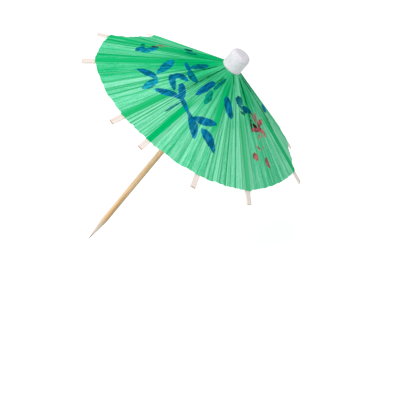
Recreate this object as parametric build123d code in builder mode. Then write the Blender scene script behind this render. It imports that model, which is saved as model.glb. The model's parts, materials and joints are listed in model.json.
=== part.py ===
"""Cocktail umbrella pick: a small paper parasol that folds on a bamboo pick.

Millimetres, +Z up the pick. The origin is on the pick's axis, at the shoulder where its point begins.
"""

import os
from math import asin, atan2, cos, hypot, pi, radians, sin, tan

from build123d import *

# Bamboo pick: a parallel shank above the point, then a slight thinning up to the cap
PICK_R = 1.15
PICK_TOP_R = 1.05
POINT_LENGTH = 10.0
POINT_END_R = 0.15
STRAIGHT_LENGTH = 34.0

# White cap pressed on the top of the pick
CAP_R = 3.78
CAP_HEIGHT = 7.0
CAP_TOP_ROUND = 1.6
CAP_BASE_ROUND = 0.35
SOCKET_DEPTH = 5.0

# Ring of rib hinges: the rib roots are strung on one thread round the hub
HINGE_R = 3.2
HINGE_Z = 82.3
THREAD_R = 0.14
THREAD_BORE_R = 0.34
EYE_R = 0.55

# Wood slat ribs of a hand-laid set: uneven in length, slope and spacing of their outer ends (degrees)
RIB_LENGTH = 49.0
RIB_EXTRAS = (2.9, 0.5, 0.0, 0.0, -1.7, -1.3, 1.7, 1.8, 0.2, 0.2, -1.1)
RIB_DROOPS = (-0.7, -1, 0, 3, 2.8, 0, 0, 0, 0, 0, 0)
RIB_WIDTH = 2.0
RIB_THICKNESS = 0.7
RIB_ROOT_WIDTH = 0.95
RIB_TAPER = 15.0
RIB_SLOPE = 28.8
RIB_SLOPE_CLOSED = 80.0
TIP_AZIMUTHS = (19.3, 41.6, 73, 105, 139.6, 184, 210.3, 247.5, 264, 292.5, 324.1)
FIRST_ROOT_AZIMUTH = 8.0

# Struts, slats on edge that are tied between two ears under each rib
STRUT_REACH = 18.0
STRUT_DEPTH = 1.6
STRUT_THICKNESS = 0.65
EAR_R = 0.75
EAR_THICKNESS = 0.45
TIE_R = 0.25

# Collars on the pick
HUB_FLANGE = 0.4
HUB_FLANGE_THICKNESS = 0.6
SLEEVE_WALL = 0.7
RUNNER_ABOVE_FOOT = 1.6
RUNNER_FLANGE = 1.3
RUNNER_FLANGE_THICKNESS = 0.9
RETAINER_WALL = 0.9
RETAINER_HEIGHT = 2.4
COLLAR_EDGE_ROUND = 0.15

# Paper canopy, one pleated panel glued along the top of each rib
PAPER_R = 42.9
PAPER_INNER_R = 3.4
PAPER_THICKNESS = 0.2
PLEATS_PER_SIDE = 2
PLEAT_RISE = 0.5
PLEAT_RISE_INNER = 0.1
BAND_MARGIN = 0.12

# Clearances
SLIDE_CLEARANCE = 0.05
SOCKET_CLEARANCE = 0.03
EYE_CLEARANCE = 0.2
TIE_CLEARANCE = 0.05
EAR_HOLE_CLEARANCE = 0.01
STRUT_SIDE_CLEARANCE = 0.1
STRUT_TOP_CLEARANCE = 0.15
FOOT_CLEARANCE = 0.15
REST_GAP = 0.1
GLUE_GAP = 0.05
PANEL_GAP = 0.1
CAP_CLEARANCE = 0.1

# Rib section, seen along its hinge: the eye's top is flush with the slat's top
RIB_COUNT = len(TIP_AZIMUTHS)
SLOPE = radians(RIB_SLOPE)
SLAT_TOP = EYE_R
SLAT_BOTTOM = SLAT_TOP - RIB_THICKNESS
PIVOT_N = SLAT_BOTTOM - STRUT_TOP_CLEARANCE - STRUT_DEPTH / 2
EAR_SLOT = STRUT_THICKNESS + 2 * STRUT_SIDE_CLEARANCE
EAR_SPAN = EAR_SLOT + 2 * EAR_THICKNESS

# Linkage: the rib's arm from hinge to strut pivot is as long as the strut, so a strut's foot stays
# straight below its rib's hinge while the ribs fold
FOLD = radians(RIB_SLOPE_CLOSED - RIB_SLOPE)
ARM = hypot(STRUT_REACH, PIVOT_N)
ARM_LEAN = pi / 2 - SLOPE - atan2(-PIVOT_N, STRUT_REACH)
FOOT_Z = HINGE_Z - 2 * ARM * cos(ARM_LEAN)
LOWEST_FOOT_Z = HINGE_Z - 2 * ARM * cos(ARM_LEAN - radians(max(RIB_DROOPS)))
RUNNER_TRAVEL = 2 * ARM * (cos(ARM_LEAN - FOLD) - cos(ARM_LEAN))

# The runner moves evenly with the fold, and the feet run ahead of it by this much halfway
RUNNER_PACE = RUNNER_TRAVEL / FOLD
LEAD_FOLD = ARM_LEAN - asin(RUNNER_PACE / (2 * ARM))
FOOT_LEAD = 2 * ARM * (cos(ARM_LEAN - LEAD_FOLD) - cos(ARM_LEAN)) - RUNNER_PACE * LEAD_FOLD

# Levels of the paper and of the collars up the pick
PAPER_STEP = PAPER_THICKNESS / sin(SLOPE)


def paper_underside_z(radius):
    """Height of the paper's underside at a distance from the pick's axis, on a rib that doesn't droop."""
    return HINGE_Z + (SLAT_TOP + GLUE_GAP) / cos(SLOPE) - (radius - HINGE_R) * tan(SLOPE)


def paper_underside_r(level, droop):
    """Distance of the paper's underside from the pick's axis at a level, on a rib with a given droop."""
    slope = SLOPE + droop
    return HINGE_R + (HINGE_Z - level + (SLAT_TOP + GLUE_GAP) / cos(slope)) / tan(slope)


PAPER_RIM_INSIDE_R = PAPER_R - PAPER_STEP
PAPER_TOP_Z = paper_underside_z(PAPER_INNER_R)
PAPER_RIM_Z = paper_underside_z(PAPER_RIM_INSIDE_R)
CAP_BASE_Z = PAPER_TOP_Z + CAP_CLEARANCE
PICK_TOP_Z = CAP_BASE_Z + SOCKET_DEPTH
PICK_THINNING = (PICK_R - PICK_TOP_R) / (PICK_TOP_Z - STRAIGHT_LENGTH)
SOCKET_R = PICK_TOP_R + PICK_THINNING * SOCKET_DEPTH + SOCKET_CLEARANCE
BORE_R = PICK_R + SLIDE_CLEARANCE

HUB_CORE_R = HINGE_R - EYE_R - EYE_CLEARANCE
HUB_FLANGE_TOP_Z = HINGE_Z - EYE_R - EYE_CLEARANCE
HUB_BASE_Z = HUB_FLANGE_TOP_Z - HUB_FLANGE_THICKNESS

RUNNER_R = HINGE_R - STRUT_DEPTH / 2 - FOOT_CLEARANCE
RUNNER_TOP_Z = FOOT_Z + RUNNER_ABOVE_FOOT
RUNNER_FLANGE_TOP_Z = LOWEST_FOOT_Z - FOOT_LEAD - STRUT_DEPTH / 2 - FOOT_CLEARANCE
RUNNER_BASE_Z = RUNNER_FLANGE_TOP_Z - RUNNER_FLANGE_THICKNESS
RETAINER_TOP_Z = RUNNER_BASE_Z - REST_GAP
SLEEVE_BASE_Z = RUNNER_TOP_Z + REST_GAP


def polar(radius, azimuth):
    """Point on the level plane at a distance and an azimuth, in radians, from the pick's axis."""
    return Vector(radius * cos(azimuth), radius * sin(azimuth), 0)


def root_azimuth(index):
    """Azimuth of a rib's hinge: the roots are evenly spaced round the hub."""
    return radians(FIRST_ROOT_AZIMUTH) + 2 * pi * index / RIB_COUNT


def rib_length(index):
    """Length of a rib from its hinge to its outer end."""
    return RIB_LENGTH + RIB_EXTRAS[index]


def droop(index):
    """Angle by which a rib stands lower than RIB_SLOPE, or higher where it is negative."""
    return radians(RIB_DROOPS[index % RIB_COUNT])


def tip_azimuth(index):
    """Azimuth of a rib's outer end, counted on past a full turn so that it always grows."""
    turns, place = divmod(index, RIB_COUNT)
    return radians(TIP_AZIMUTHS[place]) + 2 * pi * turns


def hinge_point(index):
    """Middle of a rib's hinge."""
    return polar(HINGE_R, root_azimuth(index)) + Vector(0, 0, HINGE_Z)


def outward(index):
    """Level direction from a rib's hinge to the rib's outer end."""
    tip = polar(HINGE_R + rib_length(index) * cos(SLOPE + droop(index)), tip_azimuth(index))
    return (tip - polar(HINGE_R, root_azimuth(index))).normalized()


def hinge_axis(index):
    """Direction of a rib's hinge, about which a positive turn folds the rib down."""
    return Vector(0, 0, 1).cross(outward(index))


def rib_plane(index):
    """Plane of a rib's hinge: x runs out along the rib and z is square to the slat's top."""
    slope = SLOPE + droop(index)
    along = outward(index) * cos(slope) - Vector(0, 0, sin(slope))
    return Plane(origin=hinge_point(index), x_dir=along, z_dir=along.cross(hinge_axis(index)))


def side_plane(plane):
    """The given plane stood on edge: x is kept and y is the old z."""
    return Plane(origin=plane.origin, x_dir=plane.x_dir, z_dir=-plane.y_dir)


def strut_plane(index):
    """Plane on edge at a rib's strut pivot, with x running down the strut to its foot."""
    pivot = rib_plane(index).from_local_coords(Vector(STRUT_REACH, 0, PIVOT_N))
    foot = hinge_point(index) - Vector(0, 0, 2 * ARM * cos(ARM_LEAN - droop(index)))
    return Plane(origin=pivot, x_dir=foot - pivot, z_dir=-hinge_axis(index))


def keep(part, name):
    """Label a finished piece and write it to its own file."""
    part.label = name
    export_step(part, f"parts/{name}.step")


os.makedirs("parts", exist_ok=True)

# Pick: turned profile from the point up to the end inside the cap
with BuildPart() as pick:
    with BuildSketch(Plane.XZ):
        with BuildLine():
            Polyline(
                (0, -POINT_LENGTH),
                (POINT_END_R, -POINT_LENGTH),
                (PICK_R, 0),
                (PICK_R, STRAIGHT_LENGTH),
                (PICK_TOP_R, PICK_TOP_Z),
                (0, PICK_TOP_Z),
                close=True,
            )
        make_face()
    revolve(axis=Axis.Z)
keep(pick.part, "pick")

# Cap: a short round plug with a well rounded crown and a blind socket for the pick
with BuildPart() as cap:
    with BuildSketch(Plane.XY.offset(CAP_BASE_Z)):
        Circle(CAP_R)
    extrude(amount=CAP_HEIGHT)
    fillet(cap.faces().sort_by(Axis.Z)[-1].edges(), radius=CAP_TOP_ROUND)
    fillet(cap.faces().sort_by(Axis.Z)[0].edges(), radius=CAP_BASE_ROUND)
    with BuildSketch(Plane.XY.offset(CAP_BASE_Z)):
        Circle(SOCKET_R)
    extrude(amount=SOCKET_DEPTH, mode=Mode.SUBTRACT)
keep(cap.part, "cap")

# Hub: a spool whose core carries the cap and whose flange lies below the rib roots
with BuildPart() as hub:
    with BuildSketch(Plane.XY.offset(HUB_BASE_Z)):
        Circle(HUB_CORE_R + HUB_FLANGE)
    extrude(amount=HUB_FLANGE_THICKNESS)
    with BuildSketch(Plane.XY.offset(HUB_FLANGE_TOP_Z)):
        Circle(HUB_CORE_R)
    extrude(amount=CAP_BASE_Z - HUB_FLANGE_TOP_Z)
    with BuildSketch(Plane.XY.offset(HUB_BASE_Z)):
        Circle(BORE_R)
    extrude(amount=CAP_BASE_Z - HUB_BASE_Z, mode=Mode.SUBTRACT)
keep(hub.part, "hub")

# Hub thread: a ring through the eyes of all the ribs
with BuildPart() as hub_thread:
    with BuildSketch(Plane.XZ):
        with Locations((HINGE_R, HINGE_Z)):
            Circle(THREAD_R)
    revolve(axis=Axis.Z)
keep(hub_thread.part, "hub_thread")

# Spacer sleeve: a rolled paper tube that stops the runner below the hub
with BuildPart() as spacer_sleeve:
    with BuildSketch(Plane.XY.offset(SLEEVE_BASE_Z)):
        Circle(BORE_R + SLEEVE_WALL)
        Circle(BORE_R, mode=Mode.SUBTRACT)
    extrude(amount=HUB_BASE_Z - SLEEVE_BASE_Z)
keep(spacer_sleeve.part, "spacer_sleeve")

# Runner: the sliding collar, with a plain wall for the strut feet and a flange under them
with BuildPart() as runner:
    with BuildSketch(Plane.XY.offset(RUNNER_BASE_Z)):
        Circle(RUNNER_R)
    extrude(amount=RUNNER_TOP_Z - RUNNER_BASE_Z)
    with BuildSketch(Plane.XY.offset(RUNNER_BASE_Z)):
        Circle(RUNNER_R + RUNNER_FLANGE)
    extrude(amount=RUNNER_FLANGE_THICKNESS)
    with BuildSketch(Plane.XY.offset(RUNNER_BASE_Z)):
        Circle(BORE_R)
    extrude(amount=RUNNER_TOP_Z - RUNNER_BASE_Z, mode=Mode.SUBTRACT)
    flange_wall = runner.faces().filter_by(GeomType.CYLINDER).sort_by(SortBy.RADIUS)[-1]
    fillet(flange_wall.edges().filter_by(GeomType.CIRCLE), radius=COLLAR_EDGE_ROUND)
keep(runner.part, "runner")

# Retainer ring: grips the pick below the runner and keeps the umbrella open
with BuildPart() as retainer_ring:
    with BuildSketch(Plane.XY.offset(RETAINER_TOP_Z - RETAINER_HEIGHT)):
        Circle(BORE_R + RETAINER_WALL)
        Circle(BORE_R, mode=Mode.SUBTRACT)
    extrude(amount=RETAINER_HEIGHT)
    ring_wall = retainer_ring.faces().filter_by(GeomType.CYLINDER).sort_by(SortBy.RADIUS)[-1]
    fillet(ring_wall.edges().filter_by(GeomType.CIRCLE), radius=COLLAR_EDGE_ROUND)
keep(retainer_ring.part, "retainer_ring")


def make_rib(index):
    """Slat with a drilled eye at its root and, under it, two ears for the strut."""
    top_view = rib_plane(index)
    side_view = side_plane(top_view)
    length = rib_length(index)
    with BuildPart() as rib:
        with BuildSketch(top_view.offset(SLAT_BOTTOM)):
            with BuildLine():
                Polyline(
                    (0, -RIB_ROOT_WIDTH / 2),
                    (RIB_TAPER, -RIB_WIDTH / 2),
                    (length, -RIB_WIDTH / 2),
                    (length, RIB_WIDTH / 2),
                    (RIB_TAPER, RIB_WIDTH / 2),
                    (0, RIB_ROOT_WIDTH / 2),
                    close=True,
                )
            make_face()
        extrude(amount=RIB_THICKNESS)
        with BuildSketch(side_view):
            Circle(EYE_R)
        extrude(amount=RIB_ROOT_WIDTH / 2, both=True)
        with BuildSketch(side_view):
            with Locations((STRUT_REACH, PIVOT_N)):
                Circle(EAR_R)
                Rectangle(2 * EAR_R, SLAT_BOTTOM - PIVOT_N, align=(Align.CENTER, Align.MIN))
        extrude(amount=EAR_SPAN / 2, both=True)
        with BuildSketch(side_view):
            with Locations((STRUT_REACH, SLAT_BOTTOM)):
                Rectangle(4 * EAR_R, SLAT_BOTTOM - PIVOT_N + EAR_R, align=(Align.CENTER, Align.MAX))
        extrude(amount=EAR_SLOT / 2, both=True, mode=Mode.SUBTRACT)
        with BuildSketch(side_view):
            with Locations((STRUT_REACH, PIVOT_N)):
                Circle(TIE_R + EAR_HOLE_CLEARANCE)
            Circle(THREAD_BORE_R)
        extrude(amount=RIB_WIDTH, both=True, mode=Mode.SUBTRACT)
    return rib.part


def make_strut(index):
    """Slat on edge with round ends, drilled at the top for its tie."""
    with BuildPart() as strut:
        with BuildSketch(strut_plane(index)):
            with Locations((ARM / 2, 0)):
                SlotCenterToCenter(ARM, STRUT_DEPTH)
            Circle(TIE_R + TIE_CLEARANCE, mode=Mode.SUBTRACT)
        extrude(amount=STRUT_THICKNESS / 2, both=True)
    return strut.part


def make_tie(index):
    """Pin of waxed thread through the two ears and the strut between them."""
    with BuildPart() as tie:
        with BuildSketch(strut_plane(index)):
            Circle(TIE_R)
        extrude(amount=EAR_SPAN / 2, both=True)
    return tie.part


def half_edge(index, side, level, outset, band_half, rise, azimuth_of):
    """One side's pleats on a level cut, from the flat band over the rib out to the crease.

    side is 1 towards the next rib and -1 towards the last one, and outset moves the cut outwards. Pleats
    rise and fall in even steps of azimuth, and the last point, at the crease, is on the plain cone.
    """
    near, far = (paper_underside_r(level, droop(rib)) + outset for rib in (index, index + side))
    band = polar(HINGE_R, root_azimuth(index)) + outward(index) * (near - HINGE_R)
    band += hinge_axis(index) * (side * band_half)
    start = atan2(band.Y, band.X)
    middle = (near + far) / 2
    crease = (azimuth_of(index) + azimuth_of(index + side)) / 2 - side * PANEL_GAP / 2 / middle
    crease = start + (crease - start + pi) % (2 * pi) - pi
    steps = 2 * PLEATS_PER_SIDE
    pleats = [
        polar(
            near + (middle - near) * step / steps + rise * (step % 2),
            start + (crease - start) * step / steps,
        )
        for step in range(1, steps + 1)
    ]
    return [band, *pleats]


def level_cut(index, level, band_half, rise, azimuth_of):
    """Closed outline of a panel on a level plane: the underside's zigzag and, a step out, the top's."""
    outline = []
    for outset, sides in ((0, (-1, 1)), (PAPER_STEP, (1, -1))):
        first, last = (half_edge(index, side, level, outset, band_half, rise, azimuth_of) for side in sides)
        outline += first[::-1] + last
    return outline


def make_panel(index):
    """Pleated paper panel from under the cap to the rim, flat where it is glued to its rib."""
    inner_band, rim_band = RIB_ROOT_WIDTH / 2 + BAND_MARGIN, RIB_WIDTH / 2 + BAND_MARGIN
    inner = level_cut(index, PAPER_TOP_Z, inner_band, PLEAT_RISE_INNER, root_azimuth)
    rim = level_cut(index, PAPER_RIM_Z, rim_band, PLEAT_RISE, tip_azimuth)
    with BuildPart() as panel:
        for outline, level in ((rim, PAPER_RIM_Z), (inner, PAPER_TOP_Z)):
            with BuildSketch(Plane.XY.offset(level)):
                with BuildLine():
                    Polyline(*outline, close=True)
                make_face()
        loft(ruled=True)
    return panel.part


for number in range(RIB_COUNT):
    mark = f"{number + 1:02d}"
    keep(make_rib(number), f"rib_{mark}")
    keep(make_strut(number), f"strut_{mark}")
    keep(make_tie(number), f"strut_tie_{mark}")
    keep(make_panel(number), f"canopy_panel_{mark}")
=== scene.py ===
# %% [markdown]
# # A paper cocktail umbrella
#
# The real one is a bamboo pick with a white plug on its top. Eleven wood slats are strung round a hub under
# the plug, printed tissue is pasted over them, and a strut under each slat is pushed up by a sliding collar.
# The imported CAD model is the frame: it says where every piece sits and how it folds. This lesson dresses
# that frame. It puts pleated, printed tissue in place of the plain paper panels and gives the rest a finish.

import json

import bpy
import numpy as np
from mathutils import Matrix
from mathutils.bvhtree import BVHTree


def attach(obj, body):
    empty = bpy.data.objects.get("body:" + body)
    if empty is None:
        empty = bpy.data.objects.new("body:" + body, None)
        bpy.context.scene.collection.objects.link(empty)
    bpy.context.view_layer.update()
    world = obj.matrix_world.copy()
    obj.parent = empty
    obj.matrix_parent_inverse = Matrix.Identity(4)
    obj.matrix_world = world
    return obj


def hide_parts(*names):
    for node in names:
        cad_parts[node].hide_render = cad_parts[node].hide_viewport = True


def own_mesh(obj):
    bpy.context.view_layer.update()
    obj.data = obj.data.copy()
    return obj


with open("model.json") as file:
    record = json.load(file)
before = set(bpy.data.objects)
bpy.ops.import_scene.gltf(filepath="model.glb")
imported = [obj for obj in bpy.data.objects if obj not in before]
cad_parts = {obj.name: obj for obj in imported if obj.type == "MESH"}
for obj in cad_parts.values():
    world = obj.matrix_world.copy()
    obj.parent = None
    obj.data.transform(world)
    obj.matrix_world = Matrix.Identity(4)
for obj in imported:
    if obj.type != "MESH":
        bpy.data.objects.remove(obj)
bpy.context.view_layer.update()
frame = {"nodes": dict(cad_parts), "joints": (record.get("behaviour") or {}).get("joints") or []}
MM = 0.001

# %% [markdown]
# ## Camera
#
# A product picture is taken from far off with a long lens, so that lines stay nearly parallel. The umbrella
# leans in the picture. The part stands upright in its own frame, so the camera rolls instead. Three
# directions, right, above and ahead, are all that the camera's matrix needs.

# %% Camera
CAMERA_AT = np.array((22.48, -651.37, 384.65)) * MM
CAMERA_DIP = np.radians(28.31)
CAMERA_ROLL = np.radians(40.76)
LENS_MM = 180.0
SENSOR_MM = 36.0

level = np.array((1.0, 0.0, 0.0))
ahead = np.array((0.0, np.cos(CAMERA_DIP), -np.sin(CAMERA_DIP)))
upright = np.cross(level, ahead)
right = np.cos(CAMERA_ROLL) * level + np.sin(CAMERA_ROLL) * upright
above = np.cos(CAMERA_ROLL) * upright - np.sin(CAMERA_ROLL) * level


def unit(vector):
    """A vector that runs the same way and has length one."""
    return vector / np.linalg.norm(vector)


def facing(at, x_way, y_way, z_way):
    """Matrix of an object at a point whose own axes run three given ways."""
    matrix = np.eye(4)
    matrix[:3, :3] = np.column_stack((x_way, y_way, z_way))
    matrix[:3, 3] = at
    return Matrix(matrix.tolist())


def place_in_scene(name, data, matrix=None):
    """New object on the scene's own collection."""
    made = bpy.data.objects.new(name, data)
    bpy.context.scene.collection.objects.link(made)
    if matrix is not None:
        made.matrix_world = matrix
    return made


camera_lens = bpy.data.cameras.new("photo_camera")
camera_lens.lens = LENS_MM
camera_lens.sensor_width = SENSOR_MM
camera = place_in_scene("photo_camera", camera_lens, facing(CAMERA_AT, right, above, -ahead))
bpy.context.scene.camera = camera
bpy.context.scene.view_settings.view_transform = "Standard"
print("camera at", CAMERA_AT.round(3))

# %% [markdown]
# ## Nodes for materials
#
# Every finish here is a small graph of nodes. A few helpers keep the graphs short: they add a node with its
# settings and inputs, mix two colours, make a soft step, or stretch some noise. Colours are written as they
# look on a screen, 0 to 255, and turned into the linear values that shaders use.

# %% Node helpers
# The places of a Mix node's sockets for colours
MIX_SHARE, MIX_FIRST, MIX_SECOND, MIX_RESULT = 0, 6, 7, 2


def colour(red, green, blue):
    """Linear colour of a screen colour: the curve of the sRGB standard, channel by channel."""
    screen = np.array((red, green, blue)) / 255
    linear = np.where(screen <= 0.04045, screen / 12.92, ((screen + 0.055) / 1.055) ** 2.4)
    return (*linear.tolist(), 1.0)


def node(tree, kind, inputs=(), **settings):
    """New node of a kind, given without the prefix ShaderNode, with its settings.

    An input given as a socket is wired, and any other value is set.
    """
    made = tree.nodes.new(f"ShaderNode{kind}")
    for name, value in settings.items():
        setattr(made, name, value)
    for name, value in dict(inputs).items():
        if isinstance(value, bpy.types.NodeSocket):
            tree.links.new(value, made.inputs[name])
        else:
            made.inputs[name].default_value = value
    return made


def mixed(tree, share, first, second, blend="MIX"):
    """Colour socket that runs from the first colour to the second as share runs from 0 to 1."""
    inputs = {MIX_SHARE: share, MIX_FIRST: first, MIX_SECOND: second}
    made = node(tree, "Mix", inputs, data_type="RGBA", blend_type=blend)
    return made.outputs[MIX_RESULT]


def stepped(tree, value, start, end):
    """Number socket that rises smoothly from 0 at start to 1 at end. It falls if start is above end."""
    low, high = min(start, end), max(start, end)
    to_low, to_high = (0.0, 1.0) if start < end else (1.0, 0.0)
    limits = {"From Min": low, "From Max": high, "To Min": to_low, "To Max": to_high}
    made = node(tree, "MapRange", {"Value": value, **limits}, interpolation_type="SMOOTHSTEP")
    return made.outputs["Result"]


def sums(tree, operation, first, second):
    """Number socket of one arithmetic step."""
    made = node(tree, "Math", {0: first, 1: second}, operation=operation)
    return made.outputs[0]


def grain(tree, spot, stretch, turn=(0, 0, 0), detail=4.0):
    """Number socket of noise, stretched by a scale along each axis after an optional turn."""
    turned = node(tree, "Mapping", {"Vector": spot, "Rotation": turn})
    scaled = node(tree, "Mapping", {"Vector": turned.outputs[0], "Scale": stretch})
    made = node(tree, "TexNoise", {"Vector": scaled.outputs[0], "Scale": 1.0, "Detail": detail})
    return made.outputs["Fac"]


def finish(name, roughness, specular=0.3):
    """New material with its node tree and its shader, at a roughness and a specular level."""
    made = bpy.data.materials.new(name)
    made.use_nodes = True
    tree = made.node_tree
    shader = tree.nodes["Principled BSDF"]
    shader.inputs["Roughness"].default_value = roughness
    shader.inputs["Specular IOR Level"].default_value = specular
    return made, tree, shader


def object_spot(tree):
    """Socket of the point on the piece, in its own coordinates."""
    return node(tree, "TexCoord").outputs["Object"]


def coat(tree, shader, paint, height, depth):
    """Wire a colour to the shader, and a height as a bump of a depth in metres."""
    tree.links.new(paint, shader.inputs["Base Color"])
    bump = node(tree, "Bump", {"Height": height, "Distance": depth, "Strength": 1.0})
    tree.links.new(bump.outputs[0], shader.inputs["Normal"])


print("helpers ready")

# %% [markdown]
# ## Floor
#
# The umbrella leans with its point on a floor so bright that it reads as white all over. The floor is one
# big square, level across the picture and tipped a little towards the camera. It is seen only from above,
# so that views from other sides aren't shut out. More lamps could make it white, but they would wash out
# the paper too. So it glows a little, for rays that show it: the camera's, and those of gloss and glass.

# %% Floor
FLOOR_LEAN = np.radians(20.0)
FLOOR_SIDE = 6.0
POINT_AT = np.array((0.0, 0.0, -10.1)) * MM
FLOOR_GLOW = 0.5
FLOOR_SPECKLE = (900, 900, 900)
FLOOR_WHITES = (colour(250, 250, 250), colour(255, 255, 255))

floor_up = np.cos(FLOOR_LEAN) * above - np.sin(FLOOR_LEAN) * ahead
floor_x = unit(np.cross(above, floor_up))
floor_y = np.cross(floor_up, floor_x)
corners = [
    POINT_AT + FLOOR_SIDE / 2 * (across * floor_x + along * floor_y)
    for across, along in ((-1, -1), (1, -1), (1, 1), (-1, 1))
]
floor_mesh = bpy.data.meshes.new("floor")
floor_mesh.from_pydata([corner.tolist() for corner in corners], [], [(0, 1, 2, 3)])
floor = place_in_scene("floor", floor_mesh)


def seen_rays(tree):
    """Number socket that is 1 for rays that show the background: camera, glossy and transmission rays."""
    path = node(tree, "LightPath").outputs
    shown = sums(tree, "MAXIMUM", path["Is Camera Ray"], path["Is Glossy Ray"])
    return sums(tree, "MAXIMUM", shown, path["Is Transmission Ray"])


def floor_white():
    """White paint that glows a little where it is seen and can't be seen from below."""
    made, tree, shader = finish("floor_white", roughness=0.9, specular=0.0)
    speckle = grain(tree, object_spot(tree), FLOOR_SPECKLE)
    paint = mixed(tree, speckle, *FLOOR_WHITES)
    tree.links.new(paint, shader.inputs["Base Color"])
    glow = node(tree, "Emission")
    tree.links.new(sums(tree, "MULTIPLY", seen_rays(tree), FLOOR_GLOW), glow.inputs["Strength"])
    lit = node(tree, "AddShader", {0: shader.outputs[0], 1: glow.outputs[0]})
    clear = node(tree, "BsdfTransparent")
    below = node(tree, "NewGeometry").outputs["Backfacing"]
    seen = node(tree, "MixShader", {0: below, 1: lit.outputs[0], 2: clear.outputs[0]})
    tree.links.new(seen.outputs[0], tree.nodes["Material Output"].inputs["Surface"])
    return made


floor_mesh.materials.append(floor_white())
print("floor slants", round(float(np.degrees(np.arccos(floor_up[2]))), 1), "degrees")

# %% [markdown]
# ## Light
#
# Small things are photographed under one wide, soft lamp in a white room. A sun lamp would be simpler, but it
# draws hard shadows in the pleats. So an area lamp stands in front of the canopy, above it and to its left,
# and the room fills the shadows at half strength. Where the room itself is seen, it is plain white.

# %% Light
KEY_RIGHT, KEY_ABOVE, KEY_AHEAD = -0.4, 0.56, -0.72
KEY_AWAY = 0.9
KEY_SIDE = 0.7
KEY_WATTS = 5.2
FILL_LEVEL = 0.5
CANOPY_MIDDLE = np.array((0.0, 0.0, 70.0)) * MM

key_way = unit(KEY_RIGHT * right + KEY_ABOVE * above + KEY_AHEAD * ahead)
key_x = unit(np.cross(above, key_way))
key_lamp = bpy.data.lights.new("key", "AREA")
key_lamp.energy = KEY_WATTS
key_lamp.size = KEY_SIDE
key_at = CANOPY_MIDDLE + KEY_AWAY * key_way
place_in_scene("key", key_lamp, facing(key_at, key_x, np.cross(key_way, key_x), key_way))

world = bpy.data.worlds.new("white_room")
bpy.context.scene.world = world
world.use_nodes = True
room = world.node_tree
levels = {"Value": seen_rays(room), "To Min": FILL_LEVEL, "To Max": 1.0}
room_level = node(room, "MapRange", levels)
room.nodes["Background"].inputs["Color"].default_value = (1, 1, 1, 1)
room.links.new(room_level.outputs["Result"], room.nodes["Background"].inputs["Strength"])
print("key lamp at", key_at.round(3))

# %% [markdown]
# ## Canopy: where the paper runs
#
# The tissue is one sheet, cut round and pasted to the slats. When the ribs fold, each stretch of it goes with
# its own rib, so here it is made in eleven gores that meet at the creases halfway between ribs. All gores
# come from one formula over two numbers: a place round the canopy, counted in ribs, and a share of the
# way from the hub to the rim. Neighbours then agree where they meet. The joints of the frame give each
# rib's hinge and direction.

# %% Rib lines from the frame
RIB_SLOPE = np.radians(28.8)
RIB_DROOPS = np.radians((-0.7, -1, 0, 3, 2.8, 0, 0, 0, 0, 0, 0))
PAPER_INNER_R = 3.62 * MM
PAPER_LIFT = 0.70 * MM
RIM_ON_RIBS = np.array((44.5, 43.0, 42.4, 39.8, 39.5, 41.3, 44.0, 43.6, 42.9, 42.2, 41.1)) * MM

fold_joints = [j for j in frame["joints"] if j["name"].startswith("rib_")]
marks = [j["name"].split("_")[1] for j in fold_joints]
RIBS = len(marks)
hinge_at = np.array([j["pos_m"] for j in fold_joints])
rib_side = np.array([j["axis"] for j in fold_joints])
rib_out = np.cross(rib_side, (0.0, 0.0, 1.0))
hinge_r = float(np.hypot(hinge_at[0, 0], hinge_at[0, 1]))
hinge_z = float(hinge_at[0, 2])
rib_slopes = RIB_SLOPE + RIB_DROOPS


def cone_height(radius, slope):
    """Height of the paper's middle: it falls from the hinge ring by the tangent of a slope."""
    return hinge_z + PAPER_LIFT / np.cos(slope) - (radius - hinge_r) * np.tan(slope)


def cone_normal(turn):
    """Way square to the ribs' cone at an azimuth: outwards by the slope's sine and up by its cosine."""
    out, up = np.sin(RIB_SLOPE), np.cos(RIB_SLOPE)
    return np.stack((out * np.cos(turn), out * np.sin(turn), np.full_like(turn, up)), axis=-1)


def rib_turns(radius):
    """Azimuth of every rib at a distance from the axis: hinge plus the reach that gives that distance."""
    along = np.sum(hinge_at[:, :2] * rib_out[:, :2], axis=1)
    reach = np.sqrt(along**2 + radius**2 - hinge_r**2) - along
    spot = hinge_at[:, :2] + reach[:, None] * rib_out[:, :2]
    return np.unwrap(np.arctan2(spot[:, 1], spot[:, 0]))


def turn_at(place, turns):
    """Azimuth at a place counted in ribs, straight between the azimuths of the two nearest ribs."""
    ring = np.concatenate((turns[-1:] - 2 * np.pi, turns, turns[:1] + 2 * np.pi))
    return np.interp(place, np.arange(-1, RIBS + 1), ring)


def paper_line(share, rim, inner_turn, rim_turn, slope):
    """Paper that runs straight, seen from above, from the inner edge to the rim, at its cone's height."""
    x = (1 - share) * PAPER_INNER_R * np.cos(inner_turn) + share * rim * np.cos(rim_turn)
    y = (1 - share) * PAPER_INNER_R * np.sin(inner_turn) + share * rim * np.sin(rim_turn)
    return np.stack((x, y, cone_height(np.hypot(x, y), slope)), axis=-1)


def on_rib(number, share):
    """Paper over a rib, at a share of the way from the inner edge to the rim."""
    rib = np.mod(number, RIBS)
    return paper_line(share, RIM_ON_RIBS[rib], inner_turns[rib], rim_turns[rib], rib_slopes[rib])


inner_turns = rib_turns(PAPER_INNER_R)
rim_turns = rib_turns(RIM_ON_RIBS)
print("ribs at the rim:", np.degrees(rim_turns).round(1))
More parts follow.
